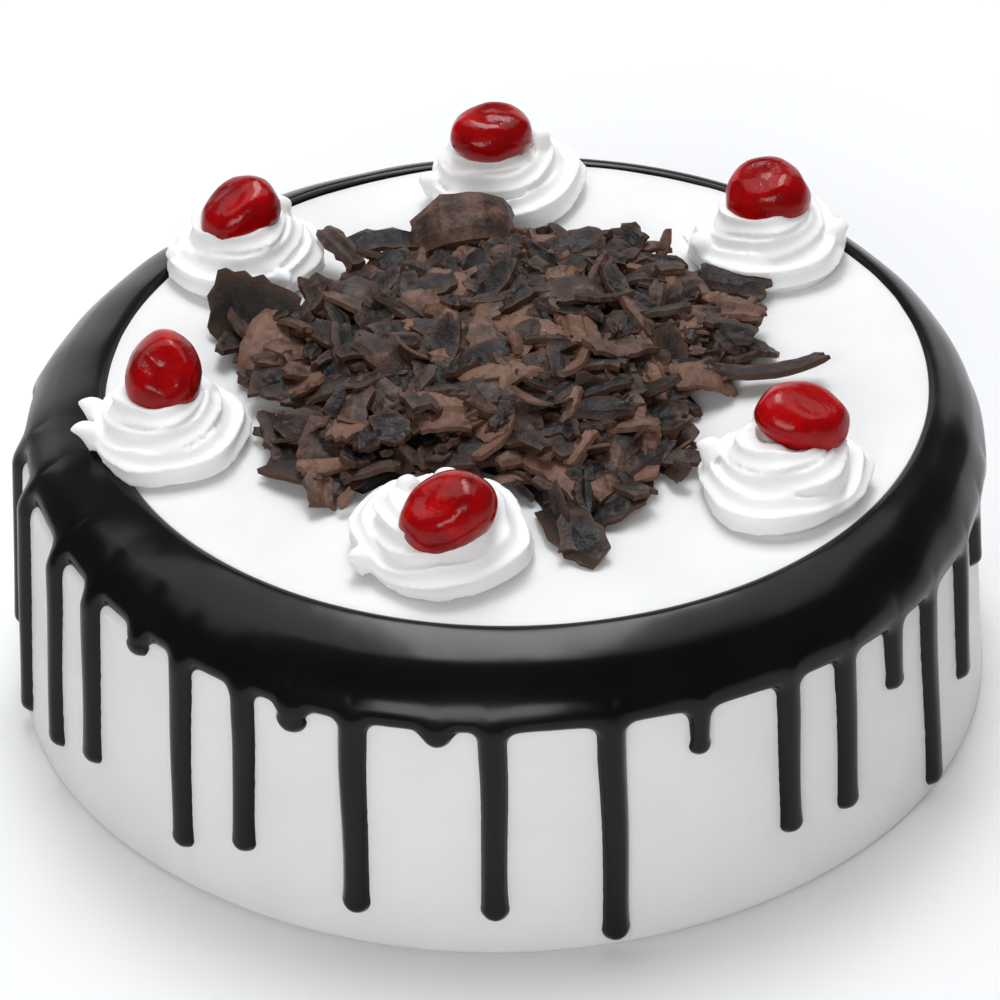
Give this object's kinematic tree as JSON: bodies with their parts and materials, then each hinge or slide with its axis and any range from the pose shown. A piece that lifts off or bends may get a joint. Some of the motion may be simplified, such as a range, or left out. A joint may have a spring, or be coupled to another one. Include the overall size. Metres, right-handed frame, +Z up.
{
  "type": "black forest cake",
  "caption": "Whole round black forest cake: cream body, dark dripping glaze over the shoulder, piped cream swirls with cherries and a heap of chocolate shavings on top.",
  "frame": {"origin": "centre of the flat base, on the surface that the cake rests on", "axes": "+Z up along the cake's axis, -Y towards the front of the picture, +X to the right"},
  "size_m": [0.2024, 0.2033, 0.0897],
  "materials": {
    "cream": "smooth spread whipped cream, soft sheen",
    "piped_cream": "piped whipped cream, soft sheen",
    "glaze": "near black chocolate glaze, glossy with a soft sheen",
    "cherry": "deep red glace cherry, wet gloss",
    "chocolate": "dark chocolate shavings, satin with dull broken edges"
  },
  "bodies": {
    "root": {"cream_body": "cream", "ganache": "glaze", "swirl_1": "piped_cream", "cherry_1": "cherry", "swirl_2": "piped_cream", "cherry_2": "cherry", "swirl_3": "piped_cream", "cherry_3": "cherry", "swirl_4": "piped_cream", "cherry_4": "cherry", "swirl_5": "piped_cream", "cherry_5": "cherry", "swirl_6": "piped_cream", "cherry_6": "cherry", "shavings": "chocolate"}
  },
  "joints": []
}
